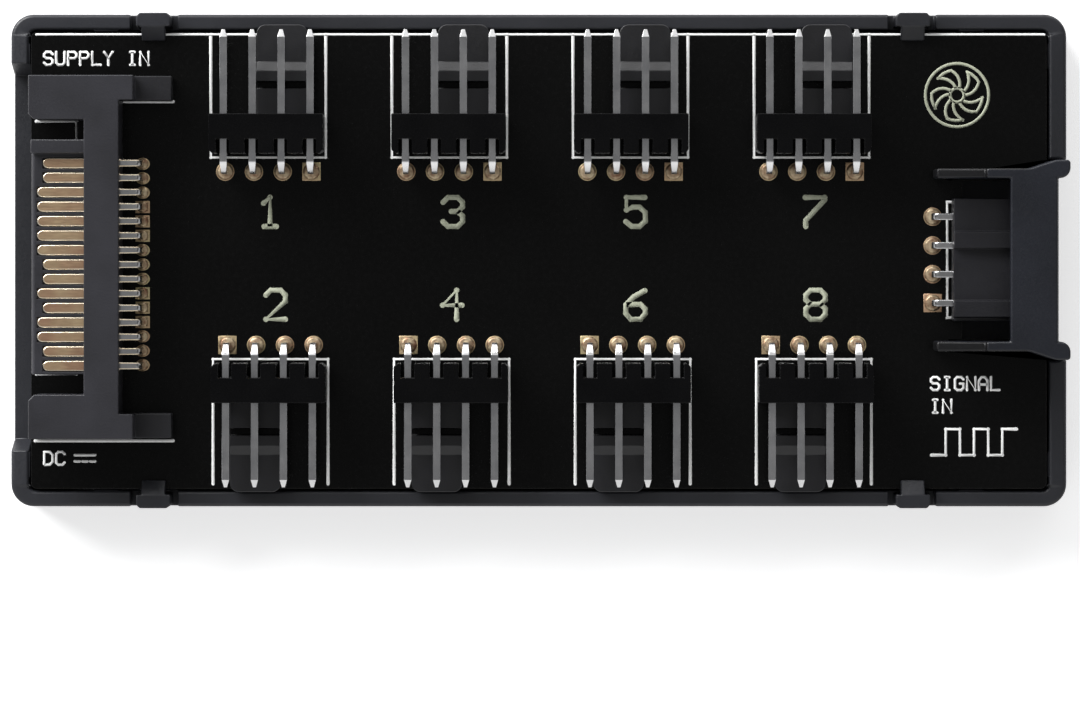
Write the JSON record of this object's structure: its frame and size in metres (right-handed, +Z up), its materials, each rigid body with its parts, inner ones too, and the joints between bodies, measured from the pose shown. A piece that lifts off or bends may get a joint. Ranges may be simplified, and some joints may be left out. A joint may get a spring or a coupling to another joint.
{
  "type": "pc fan controller hub",
  "caption": "Flat tray with a circuit board that spreads power and one speed signal to numbered fan headers.",
  "frame": {"origin": "middle of the tray's underside", "axes": "+X along the tray from the power plug to the control input, +Z up out of the tray"},
  "size_m": [0.0932, 0.0436, 0.0127],
  "materials": {
    "tray_plastic": "fine spark-eroded",
    "board_mask": "satin solder mask",
    "header_plastic": "moulded satin",
    "plug_plastic": "moulded satin",
    "tin_plate": "matt tin plating",
    "contact_gold": "thin gold flash",
    "capacitor_body": "fired ceramic",
    "diode_body": "moulded epoxy"
  },
  "bodies": {
    "root": {"base_tray": "tray_plastic", "circuit_board": "board_mask", "fan_header_1_housing": "header_plastic", "fan_header_2_housing": "header_plastic", "fan_header_3_housing": "header_plastic", "fan_header_4_housing": "header_plastic", "fan_header_5_housing": "header_plastic", "fan_header_6_housing": "header_plastic", "fan_header_7_housing": "header_plastic", "fan_header_8_housing": "header_plastic", "fan_header_1_pins": "tin_plate", "fan_header_2_pins": "tin_plate", "fan_header_3_pins": "tin_plate", "fan_header_4_pins": "tin_plate", "fan_header_5_pins": "tin_plate", "fan_header_6_pins": "tin_plate", "fan_header_7_pins": "tin_plate", "fan_header_8_pins": "tin_plate", "power_plug_housing": "plug_plastic", "power_plug_contacts": "contact_gold", "control_input_socket": "header_plastic", "control_input_contacts": "tin_plate", "control_input_frame": "plug_plastic", "filter_capacitors": "capacitor_body", "surge_diode": "diode_body"}
  },
  "joints": []
}
